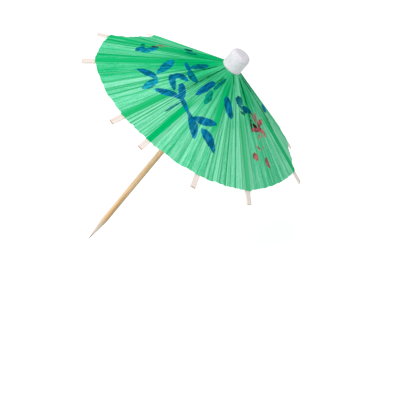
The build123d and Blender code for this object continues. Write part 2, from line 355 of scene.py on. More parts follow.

# %% [markdown]
# ## Canopy: pleats
#
# The sheet was folded like a fan before it was opened, so creases run from the hub to the rim. Few start at
# the hub, more join in on the way out. A random zigzag does this: creases at uneven places, each standing
# up or down by an uneven height, with straight paper between them. Three such zigzags, coarse to fine, are
# added up. Each strip between two creases also gets a tone, and each crease a thin dark line of painted
# shade, for the colour.

# %% Pleat zigzags
SEED = 5
dice = np.random.default_rng(SEED)
PLEAT_SETS = {
    "long": {"per_rib": 4, "rise": 0.24 * MM, "start": 0.0, "stain": 0.35},
    "middle": {"per_rib": 9, "rise": 0.16 * MM, "start": 0.12, "stain": 0.3},
    "short": {"per_rib": 20, "rise": 0.08 * MM, "start": 0.35, "stain": 0.25},
}
# How far a crease strays from its even place, in steps, and its height as a share of the rise
UNEVEN = 0.36
CREASE_HEIGHTS = (0.35, 1.0)
# The share of strips that are deep in tone, and the tones of deep and pale ones
DEEP_PLEATS = 0.28
DEEP_TONES = (0.5, 1.0)
PALE_TONES = (0, 0.2)
# Depths of colour and widths of the crease lines, which are painted shade
CREASE_SHADE_DEPTHS = (0.5, 1.1)
LINE_WIDTHS_MM = (0.3, 0.55)
# A line starts a little before its zigzag or some way after
LINE_BEFORE, LINE_AFTER = 0.2, 0.3


def zigzag(per_rib):
    """Uneven places of a ring of creases, counted in ribs, and heights that go up and down in turn."""
    count = per_rib * RIBS + (per_rib * RIBS) % 2
    places = (np.arange(count) + 0.5 + dice.uniform(-UNEVEN, UNEVEN, count)) * RIBS / count
    heights = dice.uniform(*CREASE_HEIGHTS, count) * np.where(np.arange(count) % 2, 1, -1)
    deep = dice.random(count) < DEEP_PLEATS
    tones = np.where(deep, dice.uniform(*DEEP_TONES, count), dice.uniform(*PALE_TONES, count))
    return {"places": places, "heights": heights, "tones": tones}


def crease_lines(count, earliest, latest):
    """Painted shade line along each crease: how deep its colour is, how wide it is and where on the way out
    it starts.
    """
    return {
        "depth": dice.uniform(*CREASE_SHADE_DEPTHS, count).clip(0, 1),
        "width": dice.uniform(*LINE_WIDTHS_MM, count) * MM,
        "begin": dice.uniform(earliest, latest, count),
    }


for pleats in PLEAT_SETS.values():
    pleats.update(zigzag(pleats["per_rib"]))
    first, last = pleats["start"] - LINE_BEFORE, pleats["start"] + LINE_AFTER
    pleats.update(crease_lines(len(pleats["places"]), first, last))
rim_places = PLEAT_SETS["short"]["places"]
rim_heights = dice.uniform(-1, 1, len(rim_places))
all_creases = np.sort(np.concatenate([pleats["places"] for pleats in PLEAT_SETS.values()]))
print("creases round the canopy:", len(all_creases))

# %% [markdown]
# ## Canopy: the surface
#
# Between two slats the real paper hangs somewhere between a round cone and a flat sheet, and over a slat
# it is pasted flat. A cloth simulation could find that shape, but would hardly keep creases this sharp. A
# formula mixes the cone and the flat sheet instead, and adds the zigzags square to the cone. Every crease
# is a column of a gore's grid, so that it stays sharp.

# %% Paper surface
# From each rib to the next: 0 leaves the paper round, 1 pulls it flat, and more makes it sag past flat
PULLED_FLAT = np.array((1.0, 0.3, 0.5, 1.0, 1.2, 0.3, 0.0, 0.2, 0.2, 0.2, 0.6))
PASTED_HALF = 1.1 * MM
PASTED_EDGE = 1.3 * MM
RIM_RAG = 0.005
# A zigzag stands up around its start, at a part of its rise, and has all of it at the rim
RISE_AT_START = 0.25
RISE_BEFORE, RISE_AFTER = 0.05, 0.2


def smooth(value, start, end):
    """Rise from 0 at start to 1 at end, level at both ends."""
    t = np.clip((value - start) / (end - start), 0, 1)
    return t * t * (3 - 2 * t)


def around(place, places, values):
    """Straight lines through values at places on a ring that is RIBS long."""
    return np.interp(place, places, values, period=RIBS)


def rib_to_rib(place, values):
    """Straight lines through values on the ribs."""
    before = np.floor(place).astype(int)
    past = place - before
    return (1 - past) * values[before % RIBS] + past * values[(before + 1) % RIBS]


def pleat_lift(place, share):
    """How far the zigzags lift the paper: the sum of their heights, each growing from its start outwards."""
    lift = 0
    for pleats in PLEAT_SETS.values():
        start = pleats["start"]
        grown = RISE_AT_START + (1 - RISE_AT_START) * smooth(share, start, 1.0)
        begun = smooth(share, start - RISE_BEFORE, start + RISE_AFTER)
        lift = lift + pleats["rise"] * grown * begun * around(place, pleats["places"], pleats["heights"])
    return lift


def paper_surface(rib, place, share):
    """Points of the paper, with their distance and azimuth, and how far they lie beside the rib.

    Between two ribs the paper is part round, on the cone, and part flat, on straight lines from rib to rib.
    The zigzags then move it square to the cone. Near the rib's own line it is neither pulled nor pleated.
    """
    out = share * (1 + RIM_RAG * around(place, rim_places, rim_heights))
    rim, slope = rib_to_rib(place, RIM_ON_RIBS), rib_to_rib(place, rib_slopes)
    round_paper = paper_line(out, rim, turn_at(place, inner_turns), turn_at(place, rim_turns), slope)
    before = np.floor(place).astype(int)
    past = (place - before)[..., None]
    flat_paper = (1 - past) * on_rib(before, out) + past * on_rib(before + 1, out)
    beside = (round_paper - hinge_at[rib]) @ rib_side[rib]
    loose = smooth(np.abs(beside), PASTED_HALF, PASTED_HALF + PASTED_EDGE)
    pulled = (PULLED_FLAT[before % RIBS] * loose)[..., None]
    points = (1 - pulled) * round_paper + pulled * flat_paper
    radius = np.hypot(points[..., 0], points[..., 1])
    turn = np.arctan2(points[..., 1], points[..., 0])
    points += (pleat_lift(place, out) * loose)[..., None] * cone_normal(turn)
    measured = {"radius": radius, "turn": turn, "beside": beside}
    return {"place": place, "share": share, "points": points, **measured}


print("paper starts at", round(PAPER_INNER_R / MM, 2), "mm")

# %% Grids of the gores
ROWS = 84
LEAST_STEP = 1 / 110
HALF_GORE = 0.5


def gore_places(rib):
    """Columns of one gore: all creases in it, its two ends, and even steps between them."""
    first, last = rib - HALF_GORE, rib + HALF_GORE
    inside = np.concatenate([all_creases - RIBS, all_creases])
    inside = inside[(inside > first) & (inside < last)]
    knots = np.concatenate(([first], inside, [last]))
    parts = np.maximum(1, np.round(np.diff(knots) / LEAST_STEP).astype(int))
    steps = [np.linspace(a, b, n, endpoint=False) for a, b, n in zip(knots[:-1], knots[1:], parts)]
    return np.concatenate((*steps, [last]))


def gore_grid(rib):
    """One gore's grid, in rows from the hub to the rim."""
    share, place = np.meshgrid(np.linspace(0, 1, ROWS), gore_places(rib), indexing="ij")
    return paper_surface(rib, place, share)


def grid_quads(points, first=0):
    """Corner numbers of every square of a grid of points, counted on from a first number."""
    index = first + np.arange(points.shape[0] * points.shape[1]).reshape(points.shape[:2])
    quads = np.stack((index[:-1, :-1], index[1:, :-1], index[1:, 1:], index[:-1, 1:]), axis=-1)
    return quads.reshape(-1, 4)


gore_grids = [gore_grid(rib) for rib in range(RIBS)]
first_numbers = np.cumsum([0] + [grid["radius"].size for grid in gore_grids])
paper_points = np.concatenate([grid["points"].reshape(-1, 3) for grid in gore_grids])
paper_quads = np.concatenate([grid_quads(g["points"], first) for g, first in zip(gore_grids, first_numbers)])
paper_tree = BVHTree.FromPolygons(paper_points.tolist(), paper_quads.tolist())
print("points of the paper:", len(paper_points))

# %% [markdown]
# ## Canopy: the printed spray
#
# Leaves and blossom are stamped on the flat sheet, a common pattern on such umbrellas. They could be painted
# as a picture, but a picture blurs and has to be stored. Here each stroke is a formula instead: its two
# ends, a width and a bend. The ends are read off the photo, and a ray from the camera finds the spot on
# the paper. Distances are measured on the ribs' cone rolled out flat, and each point of the mesh keeps its
# distance to the nearest stroke's edge. A shader then inks what lies inside.

# %% Flat paper and strokes
PHOTO_SIDE = 400
CANOPY_AWAY = np.linalg.norm(CANOPY_MIDDLE - CAMERA_AT)


def on_paper(pixel):
    """Distance and azimuth of the paper seen at a pixel, or nearest to the pixel's ray where it misses."""
    aside, down = (np.array(pixel) - PHOTO_SIDE / 2) / PHOTO_SIDE * SENSOR_MM / LENS_MM
    ray = unit(ahead + aside * right - down * above)
    spot = paper_tree.ray_cast(CAMERA_AT.tolist(), ray.tolist())[0]
    if spot is None:
        spot = paper_tree.find_nearest((CAMERA_AT + CANOPY_AWAY * ray).tolist())[0]
    return np.hypot(spot[0], spot[1]), np.arctan2(spot[1], spot[0])


def rolled_out(radius, turn, about):
    """Place on the flat sheet: slant distance, at the azimuth from a given one times the slope's cosine."""
    around_flat = (np.mod(turn - about + np.pi, 2 * np.pi) - np.pi) * np.cos(RIB_SLOPE)
    slant = radius / np.cos(RIB_SLOPE)
    return np.stack((slant * np.cos(around_flat), slant * np.sin(around_flat)), axis=-1)


INKS = {
    "blue": colour(14, 156, 196),
    "deep blue": colour(8, 146, 196),
    "cyan": colour(20, 186, 212),
    "sea blue": colour(8, 158, 168),
    "dark sea": colour(4, 130, 150),
    "pale teal": colour(16, 202, 160),
    "teal": colour(8, 180, 150),
    "dark teal": colour(4, 138, 122),
    "red": colour(238, 134, 132),
    "pale red": colour(226, 172, 154),
    "brown": colour(94, 60, 56),
    # Painted shade for the darkest folds
    "fold shade green": colour(0, 172, 92),
}


def stroke(ink, base, tip, width, bend=0.0, blunt=0.5, peak=0.5):
    """A stroke's flat shape from pixels: base, tip, and its width and bend square to the line between them.

    blunt is the power that rounds the outline: 0.5 gives an oval, more gives a pointed leaf and less a bar.
    peak is the share of the way from base to tip at which the stroke is widest.
    """
    base, tip = np.array(base, float), np.array(tip, float)
    across = np.array((base[1] - tip[1], tip[0] - base[0])) / np.linalg.norm(tip - base)
    middle = (base + tip) / 2
    seen = [base, tip, middle + across * width / 2, middle - across * width / 2, middle + across * bend]
    polar = [on_paper(pixel) for pixel in seen]
    about = polar[0][1]
    flat = np.array([rolled_out(*spot, about) for spot in polar])
    skew = np.log(0.5) / np.log(peak)
    return {"ink": ink, "about": about, "flat": flat, "blunt": blunt, "skew": skew}


def stroke_field(radius, turn, shape):
    """Distance to a stroke's edge, negative inside.

    Along the stroke's own line, s runs from 0 at the base to 1 at the tip, and is raised to the skew's power.
    The half width is the full one times (4 s (1 - s)) to the blunt power, and the line bends as 4 s (1 - s).
    """
    base, tip, side, other, bow = shape["flat"]
    length = np.linalg.norm(tip - base)
    ahead_flat = (tip - base) / length
    across = np.array((-ahead_flat[1], ahead_flat[0]))
    half = abs((side - other) @ across) / 2
    spot = rolled_out(radius, turn, shape["about"]) - base
    along = spot @ ahead_flat / length
    s = np.clip(along, 0, 1)
    skewed = s ** shape["skew"]
    off = np.abs(spot @ across - ((bow - base) @ across) * 4 * s * (1 - s))
    past = length * np.maximum(0, np.maximum(-along, along - 1))
    inside = off - half * (4 * skewed * (1 - skewed)) ** shape["blunt"]
    return np.where(past > 0, np.hypot(off, past), inside)


print("inks:", ", ".join(INKS))

# %% [markdown]
# The strokes are drawn over the photo, in its pixels: base, tip and width, and a bend where one shows.
# The last ones aren't printed: they are painted shade in the darkest folds, drawn as thin green strokes.

# %% Strokes of the spray, in the photo's pixels
LEAVES = {
    "left upper": stroke("blue", (157.6, 78.2), (136.3, 69.0), 6.2, bend=1.0, blunt=0.65),
    "left lower": stroke("cyan", (157.6, 79.4), (142.0, 88.8), 7.6, bend=-0.6, blunt=0.55, peak=0.45),
    "left top": stroke("cyan", (157.0, 74.0), (173.4, 60.3), 8.2, peak=0.6),
    "ring left": stroke("blue", (174.5, 91.5), (171.2, 74.0), 7.0, blunt=0.6, peak=0.62),
    "ring top": stroke("blue", (188.3, 81.2), (170.5, 76.6), 5.8, bend=2.6, blunt=0.55),
    "middle flat": stroke("deep blue", (176.8, 95.0), (154.3, 88.8), 6.6, bend=-0.4, blunt=0.6, peak=0.4),
    "middle upright": stroke("deep blue", (182.0, 99.0), (181.8, 83.3), 7.8, blunt=0.45),
    "low left": stroke("deep blue", (188.2, 112.8), (193.9, 139.4), 8.6, bend=-2.3, blunt=0.8, peak=0.52),
    "low right": stroke("deep blue", (192.6, 117.0), (217.4, 124.4), 8.0, bend=1.1, blunt=0.8),
    "lowest": stroke("deep blue", (201.6, 128.6), (214.0, 153.8), 8.6, bend=-1.9, blunt=0.8, peak=0.42),
    "upper small": stroke("deep blue", (189.8, 72.3), (185.5, 62.0), 3.8, blunt=0.65),
    "upper middle": stroke("sea blue", (189.3, 70.0), (197.7, 83.2), 6.8, bend=1.4, peak=0.45),
    "upper right": stroke("sea blue", (190.5, 67.8), (208.8, 65.8), 5.0),
    "right": stroke("deep blue", (214.8, 82.2), (195.5, 95.2), 6.8, peak=0.38),
    "right teal": stroke("pale teal", (212.0, 90.2), (204.2, 104.5), 7.0, bend=-0.6, blunt=0.7),
    "right dark": stroke("teal", (213.5, 90.0), (226.5, 78.8), 4.2),
    "tall": stroke("blue", (226.3, 96.8), (231.2, 119.2), 7.2, blunt=0.42),
    "square": stroke("dark sea", (237.9, 96.6), (239.9, 104.8), 5.8, blunt=0.1),
    "beside blossom": stroke("dark sea", (242.0, 106.4), (251.4, 113.0), 4.4, blunt=0.6),
    "under blossom": stroke("dark teal", (239.8, 111.3), (245.3, 115.3), 2.6, blunt=0.65),
    "edge": stroke("deep blue", (261.8, 104.2), (265.4, 112.8), 2.6, blunt=0.4),
    "top left": stroke("blue", (135.5, 51.0), (144.0, 46.8), 4.2, blunt=0.45),
    "top right": stroke("cyan", (140.5, 51.3), (157.5, 47.8), 4.8, bend=0.3),
    "top speck": stroke("dark teal", (140.5, 44.6), (145.6, 45.4), 1.6, blunt=0.65),
    "shoulder near": stroke("teal", (185.6, 52.6), (197.5, 54.8), 2.0),
    "shoulder far": stroke("dark teal", (184.6, 49.4), (193.0, 51.0), 2.2, blunt=0.4),
}
STEMS = {
    "middle join": stroke("deep blue", (172.5, 94.8), (183.5, 98.2), 4.2, blunt=0.4),
    "main": stroke("deep blue", (181.3, 96.5), (187.6, 112.8), 4.8, blunt=0.35),
    "main end": stroke("blue", (185.8, 109.5), (192.5, 119.5), 3.4, blunt=0.3),
    "twig": stroke("dark sea", (182.0, 101.5), (164.3, 112.0), 2.0, blunt=0.65),
    "square twig": stroke("dark sea", (238.0, 104.5), (247.2, 113.2), 2.2, blunt=0.4),
}
BLOSSOM = {
    "left stalk": stroke("pale red", (251.0, 112.5), (255.6, 123.5), 1.9, blunt=0.4),
    "right stalk": stroke("pale red", (254.3, 112.4), (256.4, 122.5), 2.3, blunt=0.4),
    "bud": stroke("red", (257.4, 126.6), (261.6, 120.0), 5.0, blunt=0.45),
    "body": stroke("red", (251.2, 129.8), (260.8, 129.8), 5.0, blunt=0.25),
    "tail": stroke("red", (257.0, 128.4), (265.8, 137.4), 3.6, bend=-1.5),
    "heart": stroke("brown", (252.3, 124.0), (257.4, 128.8), 3.2),
    "dark edge": stroke("brown", (250.4, 119.0), (252.0, 132.5), 1.6),
    "first drip": stroke("pale red", (259.4, 133.5), (257.8, 139.9), 1.8),
    "second drip": stroke("pale red", (261.0, 135.0), (261.5, 138.8), 1.4),
    "fallen stalk": stroke("pale red", (255.5, 144.4), (260.8, 150.8), 1.9),
    "fallen speck": stroke("pale red", (261.2, 150.6), (264.2, 145.6), 1.4),
    "fallen bud": stroke("red", (253.4, 153.2), (257.8, 160.2), 4.6, blunt=0.45),
    "fallen bud edge": stroke("brown", (253.0, 154.0), (254.4, 159.6), 1.4),
    "fallen petal": stroke("red", (264.9, 157.0), (270.0, 167.8), 3.2, blunt=0.6),
    "top petal left": stroke("pale red", (160.2, 46.0), (155.4, 45.3), 0.9),
    "top petal back": stroke("pale red", (160.4, 45.8), (159.0, 44.2), 1.2),
    "top petal right": stroke("pale red", (160.8, 45.8), (164.4, 44.9), 0.9),
    "top petal long": stroke("pale red", (161.0, 46.2), (168.4, 46.8), 0.9),
    "top petal near": stroke("pale red", (160.6, 46.2), (161.8, 47.8), 1.2),
    "top heart": stroke("brown", (151.5, 46.4), (158.8, 47.9), 1.8, blunt=0.4),
}
# Painted shade in the darkest folds, drawn as green strokes
FOLD_SHADE_LINES = {
    "right of cap": ((238.8, 77.0), (246.8, 105.6), 1.5),
    "right middle": ((246.4, 104.2), (252.6, 131.0), 1.2),
    "far right": ((241.4, 77.6), (256.8, 101.8), 0.8),
    "far right low": ((256.2, 100.8), (273.6, 131.5), 0.6),
    "below cap": ((233.4, 75.0), (233.8, 86.5), 1.4),
    "left of cap": ((225.0, 68.4), (206.6, 77.4), 1.2),
    "left low": ((224.4, 77.2), (213.0, 85.6), 1.3),
    "left long": ((214.7, 73.2), (187.0, 88.9), 1.0),
    "left high": ((217.5, 66.4), (202.5, 70.4), 1.2),
}
FOLD_SHADE_BLUNT = 0.3
FOLD_SHADES = {name: stroke("fold shade green", *line, blunt=FOLD_SHADE_BLUNT) for name, line in FOLD_SHADE_LINES.items()}
print("drawn strokes:", len(LEAVES) + len(STEMS) + len(BLOSSOM) + len(FOLD_SHADES))

# %% [markdown]
# The print goes on round the far side, where the photo doesn't show it. A few leaves are stamped there
# again, turned about the pick.

# %% Ink fields
FAR_SIDE_TURN = np.radians(-190)
FAR_SIDE_LEAVES = ("right", "tall", "low left", "low right", "lowest")

far_side = [dict(LEAVES[name], about=LEAVES[name]["about"] + FAR_SIDE_TURN) for name in FAR_SIDE_LEAVES]
# Print strokes, and the fold strokes that are painted shade
strokes = [*FOLD_SHADES.values(), *LEAVES.values(), *far_side, *STEMS.values(), *BLOSSOM.values()]
stroke_inks = np.array([INKS[shape["ink"]] for shape in strokes])


def ink_fields(radius, turn):
    """Distance to the nearest stroke's edge, and that stroke's ink."""
    away = np.array([stroke_field(radius, turn, shape) for shape in strokes])
    return away.min(axis=0), stroke_inks[away.argmin(axis=0)]


print("strokes on both sides:", len(strokes))

# %% [markdown]
# ## Canopy: tissue finish
#
# Tissue is pale where light comes through one layer and deep green where paste or a fold doubles it. The
# colour runs between those two along streaks that follow the pleats, so the noise reads the paper's own map
# and is stretched from hub to rim. Creases get thin dark lines of painted shade, darker towards the hub, the
# pasted bands over the slats are deep green, and beside rib 01 the band is widened into painted shade of
# a fold. The inks come last. Ink takes unevenly on such paper, so its edge wanders and a wash of noise
# darkens it in patches.

# %% Tissue material
TISSUE = {
    "pale": colour(148, 244, 200),
    "middle": colour(90, 222, 163),
    "deep": colour(10, 197, 119),
    # The pasted colour also serves as painted shade of the fold beside rib 01
    "pasted": colour(0, 198, 114),
    # The two crease colours are painted shade in the creases, the darker one towards the hub
    "crease": colour(8, 178, 102),
    "crease at hub": colour(0, 112, 60),
    "ink streak and shade": colour(190, 206, 222),
    "ink wash": colour(186, 190, 184),
}
# How fine each noise is round the canopy and from hub to rim
STREAK_NOISE = (480, 6.0, 1)
FIBRE_NOISE = (700, 45.0, 1)
WANDER_NOISE = (420, 26.0, 1)
WASH_NOISE = (110, 18.0, 1)
STREAK_TONE = 0.45
FIBRE_TONE = 0.9
TONE_OFF = 0.22
# Tones between which one colour turns into the next
PALE_TO_MIDDLE = (0.35, 0.95)
MIDDLE_TO_DEEP = (0.85, 1.5)
INK_TO_STREAK_AND_SHADE = (0.5, 1.3)
INK_TAKES = (0.3, 0.8)
# Shares of the way to the rim between which the painted crease shade darkens towards the hub
CREASE_SHADE_TO_HUB = (0.6, 0.1)
# Values of noise between which it starts to show and shows in full
STREAKS_SHOW = (0.32, 0.7)
WASH_SHOWS = (0.4, 0.6)
NOISE_MIDDLE = 0.5
INK_EDGE = 0.1 * MM
INK_WANDER = 1.1 * MM
LEAST_INK = 0.9


def tissue_green(tree, tone, fields):
    """Plain paper's colour: green by its tone, then the pasted bands, then crease lines of painted shade."""
    green = mixed(tree, stepped(tree, tone, *PALE_TO_MIDDLE), TISSUE["pale"], TISSUE["middle"])
    green = mixed(tree, stepped(tree, tone, *MIDDLE_TO_DEEP), green, TISSUE["deep"])
    green = mixed(tree, fields["band"], green, TISSUE["pasted"])
    # Painted shade on the creases, darker towards the hub
    hub = stepped(tree, fields["share"], *CREASE_SHADE_TO_HUB)
    return mixed(tree, fields["crease"], green, mixed(tree, hub, TISSUE["crease"], TISSUE["crease at hub"]))


def ink_cover(tree, paper, tone, fields):
    """How much ink is on the paper: all inside a wandering edge, a little less where the paper is pale."""
    wander = grain(tree, paper, WANDER_NOISE, detail=2.0)
    wander = sums(tree, "MULTIPLY", sums(tree, "SUBTRACT", wander, NOISE_MIDDLE), INK_WANDER)
    inside = stepped(tree, sums(tree, "ADD", fields["ink"], wander), INK_EDGE, -INK_EDGE)
    more = sums(tree, "MULTIPLY", stepped(tree, tone, *INK_TAKES), 1 - LEAST_INK)
    return sums(tree, "MULTIPLY", inside, sums(tree, "ADD", more, LEAST_INK))


def ink_colour(tree, paper, tone, fields):
    """Ink colour: its own, darker along streaks, in washed patches, and with painted shade along creases."""
    stain = node(tree, "Attribute", attribute_name="stain").outputs["Color"]
    # Darker along the paper's streaks, and painted shade along the creases
    streak = stepped(tree, sums(tree, "ADD", tone, fields["crease"]), *INK_TO_STREAK_AND_SHADE)
    stain = mixed(tree, streak, stain, TISSUE["ink streak and shade"], "MULTIPLY")
    wash = stepped(tree, grain(tree, paper, WASH_NOISE, detail=2.0), *WASH_SHOWS)
    return mixed(tree, wash, stain, TISSUE["ink wash"], "MULTIPLY")


def tissue():
    """Printed tissue. Its tone is the mesh's own, plus fine streaks, plus fibres."""
    made, tree, shader = finish("printed_tissue", roughness=0.85, specular=0.0)
    paper = node(tree, "UVMap", uv_map="paper").outputs["UV"]
    fields = {
        name: node(tree, "Attribute", attribute_name=name).outputs["Fac"]
        for name in ("ink", "crease", "band", "share", "tone")
    }
    streaks = stepped(tree, grain(tree, paper, STREAK_NOISE, detail=3.0), *STREAKS_SHOW)
    fibres = grain(tree, paper, FIBRE_NOISE, detail=3.0)
    tone = sums(tree, "ADD", fields["tone"], sums(tree, "MULTIPLY", streaks, STREAK_TONE))
    tone = sums(tree, "ADD", tone, sums(tree, "MULTIPLY", fibres, FIBRE_TONE))
    tone = sums(tree, "SUBTRACT", tone, TONE_OFF)
    green = tissue_green(tree, tone, fields)
    stain = ink_colour(tree, paper, tone, fields)
    printed = mixed(tree, ink_cover(tree, paper, tone, fields), green, stain)
    coat(tree, shader, printed, streaks, depth=0.05 * MM)
    return made


printed_tissue = tissue()
print("tissue nodes:", len(printed_tissue.node_tree.nodes))

# %% [markdown]
# ## Canopy: numbers for the finish
#
# A material can't know where a crease or a slat runs, so every point of the mesh carries numbers for it to
# read: how dark the painted shade of a crease is there, how deep the green is, and whether the paper is
# pasted down. They could be painted by hand, but then they wouldn't follow the pleats. Here they come from
# the same creases and ribs that shape the paper.

# %% Lines, tones and bands
# Only creases this near to the paper's middle line, in ribs, draw lines of painted shade on it
LINE_REACH = 0.6
LINE_FADE = 0.2
# From each rib to the next: how strongly the crease lines of painted shade show
CREASE_SHADE_ON_RIBS = np.array((0.8, 0.8, 0.8, 0.8, 0.9, 1.0, 1.0, 1.0, 0.45, 1.0, 0.6))
# On each rib: how deep the green is, and how uneven from strip to strip
# The paler green on ribs 01 and 11, on the side away from the lamp, is painted light
TONE_AND_LIGHT_ON_RIBS = np.array((-0.5, 0.0, 0.1, 0.1, 0.1, 0.2, 0.1, -0.1, -0.08, 0.02, -0.6))
STREAKS_ON_RIBS = np.array((1.4, 1.0, 1.4, 1.4, 1.4, 1.8, 1.4, 1.0, 1.0, 1.4, 1.9))
HUB_TONE = 0.75
HUB_TONE_FROM, HUB_TONE_TO = 0.6, 0.1
TONE_BEFORE, TONE_AFTER = 0.05, 0.1
PAST_RIM = 1.2
PLAIN_BAND = {"depth": 0.45, "start": 0.3}
DEEP_BANDS = {
    # Beside rib 01 the band is widened past the paste into painted shade of the fold next to the rib
    "01": {"depth": 0.9, "start": 0.4, "half": 2.2 * MM},
    "07": {"depth": 0.9, "start": 0.2},
    "08": {"depth": 0.9, "start": 0.5},
    "09": {"depth": 1.0, "start": 0.45},
    "10": {"depth": 0.9, "start": 0.1, "end": 0.6},
    "11": {"depth": 0.7, "start": 0.3},
}
BAND_FADE = 0.12
BAND_OUTER, BAND_INNER = 0.25 * MM, 0.15 * MM


def ring_gap(place, other):
    """Gap from one place to another on the ring of ribs, half the ring at most either way."""
    return np.mod(place - other + RIBS / 2, RIBS) - RIBS / 2


def painted_crease_shade(place, share, radius, pleats):
    """Depth of the painted shade along the creases: full on a crease, none a line's width beside it."""
    near = np.abs(ring_gap(pleats["places"], place.mean())) < LINE_REACH
    beside = np.abs(ring_gap(place[..., None], pleats["places"][near]))
    beside = beside * radius[..., None] * 2 * np.pi / RIBS
    begin = pleats["begin"][near]
    drawn = smooth(share[..., None], begin, begin + LINE_FADE) * pleats["depth"][near]
    lines = (drawn * np.clip(1 - beside / pleats["width"][near], 0, 1)).max(-1)
    return lines * CREASE_SHADE_ON_RIBS[np.floor(place).astype(int) % RIBS]


def facet_tones(place, pleats):
    """Tone of the strip of paper between two creases, the same across the strip."""
    strip = np.searchsorted(pleats["places"], np.mod(place, RIBS))
    return pleats["tones"][strip % len(pleats["tones"])]


def paper_tone(place, share):
    """Green depth by place, with painted light on ribs 01 and 11, deeper towards the hub, uneven by strip."""
    uneven = rib_to_rib(place, STREAKS_ON_RIBS)
    tone = rib_to_rib(place, TONE_AND_LIGHT_ON_RIBS) + HUB_TONE * smooth(share, HUB_TONE_FROM, HUB_TONE_TO)
    for pleats in PLEAT_SETS.values():
        shown = smooth(share, pleats["start"] - TONE_BEFORE, pleats["start"] + TONE_AFTER)
        tone = tone + uneven * pleats["stain"] * shown * facet_tones(place, pleats)
    return tone


def pasted_band_and_shade(beside, share, depth, start, end=PAST_RIM, half=PASTED_HALF):
    """Depth of the pasted band over a slat, fading in and out to the rim. A wider half adds painted fold
    shade.
    """
    pasted = smooth(np.abs(beside), half + BAND_OUTER, half - BAND_INNER)
    begun = smooth(share, start - BAND_FADE, start + BAND_FADE)
    return depth * pasted * begun * smooth(share, end + BAND_FADE, end - BAND_FADE)


print("deep bands on ribs:", ", ".join(DEEP_BANDS))

# %% [markdown]
# ## Canopy: strips along the slats
#
# When a real umbrella is folded, the paper beside each slat stays on it and the rest tucks in between. A gore
# that only closes up sideways would bare the slat. So a second grid of the same surface lies just above
# the gore along the slat, and rides the rib as it is. It is as wide as there is room for when the slats
# are folded together, which the ribs' hinges and slopes tell. Both read the same formulas, so the print
# runs through and the strip doesn't show on the open umbrella.

# %% Grids of the strips
FOLD = np.radians(51.2)
STRIP_SHARE = 0.45
STRIP_COLUMNS = 33
STRIP_LIFT = 0.09 * MM


def folded_line(rib, reach):
    """Where a slat's paper is, seen from above, at distances from the hinge when the slat is folded down."""
    folded = rib_slopes[rib] + FOLD
    away = reach * np.cos(folded) + PAPER_LIFT * np.sin(folded)
    return hinge_at[rib, :2] + away[:, None] * rib_out[rib, :2]


def strip_grid(rib, grid):
    """Paper along one slat: in each row, places from one side of the slat to the other, lifted off the gore.

    To each side it reaches a share of the way to the next slat, as far as the two are apart when folded.
    """
    reach = np.linalg.norm(on_rib(rib, grid["share"][:, 0]) - hinge_at[rib], axis=-1)
    own = folded_line(rib, reach)
    before = STRIP_SHARE * np.linalg.norm(folded_line(rib - 1, reach) - own, axis=-1)
    after = STRIP_SHARE * np.linalg.norm(folded_line((rib + 1) % RIBS, reach) - own, axis=-1)
    wanted = np.linspace(-before, after, STRIP_COLUMNS, axis=-1)
    rows = zip(wanted, grid["beside"], grid["place"])
    place = np.array([np.interp(row, beside, places) for row, beside, places in rows])
    share = np.repeat(grid["share"][:, :1], STRIP_COLUMNS, axis=1)
    strip = paper_surface(rib, place, share)
    strip["points"] = strip["points"] + STRIP_LIFT * cone_normal(strip["turn"])
    return strip


strip_grids = [strip_grid(rib, grid) for rib, grid in enumerate(gore_grids)]
print("strips at the rim, mm:", [round(float(np.ptp(strip["beside"][-1]) / MM), 1) for strip in strip_grids])

# %% [markdown]
# ## Canopy: gores
#
# Each grid is thickened to paper by Solidify. A gore replaces the plain CAD panel and rides its rib, and so
# does the strip that lies on it.

# %% Gores and strips
PAPER_THICKNESS = 0.12 * MM
STRIP_THICKNESS = 0.04 * MM
SHADE_LINED_PLEATS = ("long", "middle")


def grid_mesh(name, points, uv):
    """Mesh of a grid of points, with a map for each corner. Flat faces keep the creases sharp."""
    quads = grid_quads(points)
    made = bpy.data.meshes.new(name)
    made.from_pydata(points.reshape(-1, 3), [], quads, shade_flat=True)
    layer = made.uv_layers.new(name="paper")
    layer.data.foreach_set("uv", uv.reshape(-1, 2)[quads.reshape(-1)].astype(np.float32).ravel())
    return made


def add_field(mesh, name, values):
    """Number on each point of a mesh, for a material to read."""
    mesh.attributes.new(name, "FLOAT", "POINT").data.foreach_set("value", values.astype(np.float32).ravel())


def make_paper(name, mark, grid, thickness):
    """Printed paper of a thickness over a grid of the paper surface, riding its rib."""
    place, share, radius = grid["place"], grid["share"], grid["radius"]
    uv = np.stack((np.mod(place + HALF_GORE, RIBS) / RIBS, share), axis=-1)
    mesh = grid_mesh(name, grid["points"], uv)
    ink, stain = ink_fields(radius, grid["turn"])
    add_field(mesh, "ink", ink)
    stains = mesh.attributes.new("stain", "FLOAT_COLOR", "POINT")
    stains.data.foreach_set("color", stain.astype(np.float32).ravel())
    # Painted shade along the creases of the long and middle zigzags
    lines = [painted_crease_shade(place, share, radius, PLEAT_SETS[size]) for size in SHADE_LINED_PLEATS]
    add_field(mesh, "crease", np.max(lines, axis=0))
    add_field(mesh, "tone", paper_tone(place, share))
    add_field(mesh, "band", pasted_band_and_shade(grid["beside"], share, **DEEP_BANDS.get(mark, PLAIN_BAND)))
    add_field(mesh, "share", share)
    paper = place_in_scene(name, mesh)
    mesh.materials.append(printed_tissue)
    wall = paper.modifiers.new("paper", "SOLIDIFY")
    wall.thickness = thickness
    wall.offset = 0.0
    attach(paper, f"rib_{mark}")
    return paper


for rib, mark in enumerate(marks):
    strip = make_paper(f"pasted_strip_{mark}", mark, strip_grids[rib], STRIP_THICKNESS)
    gore = make_paper(f"gore_{mark}", mark, gore_grids[rib], PAPER_THICKNESS)
    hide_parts(f"canopy_panel_{mark}")
    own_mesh(gore)

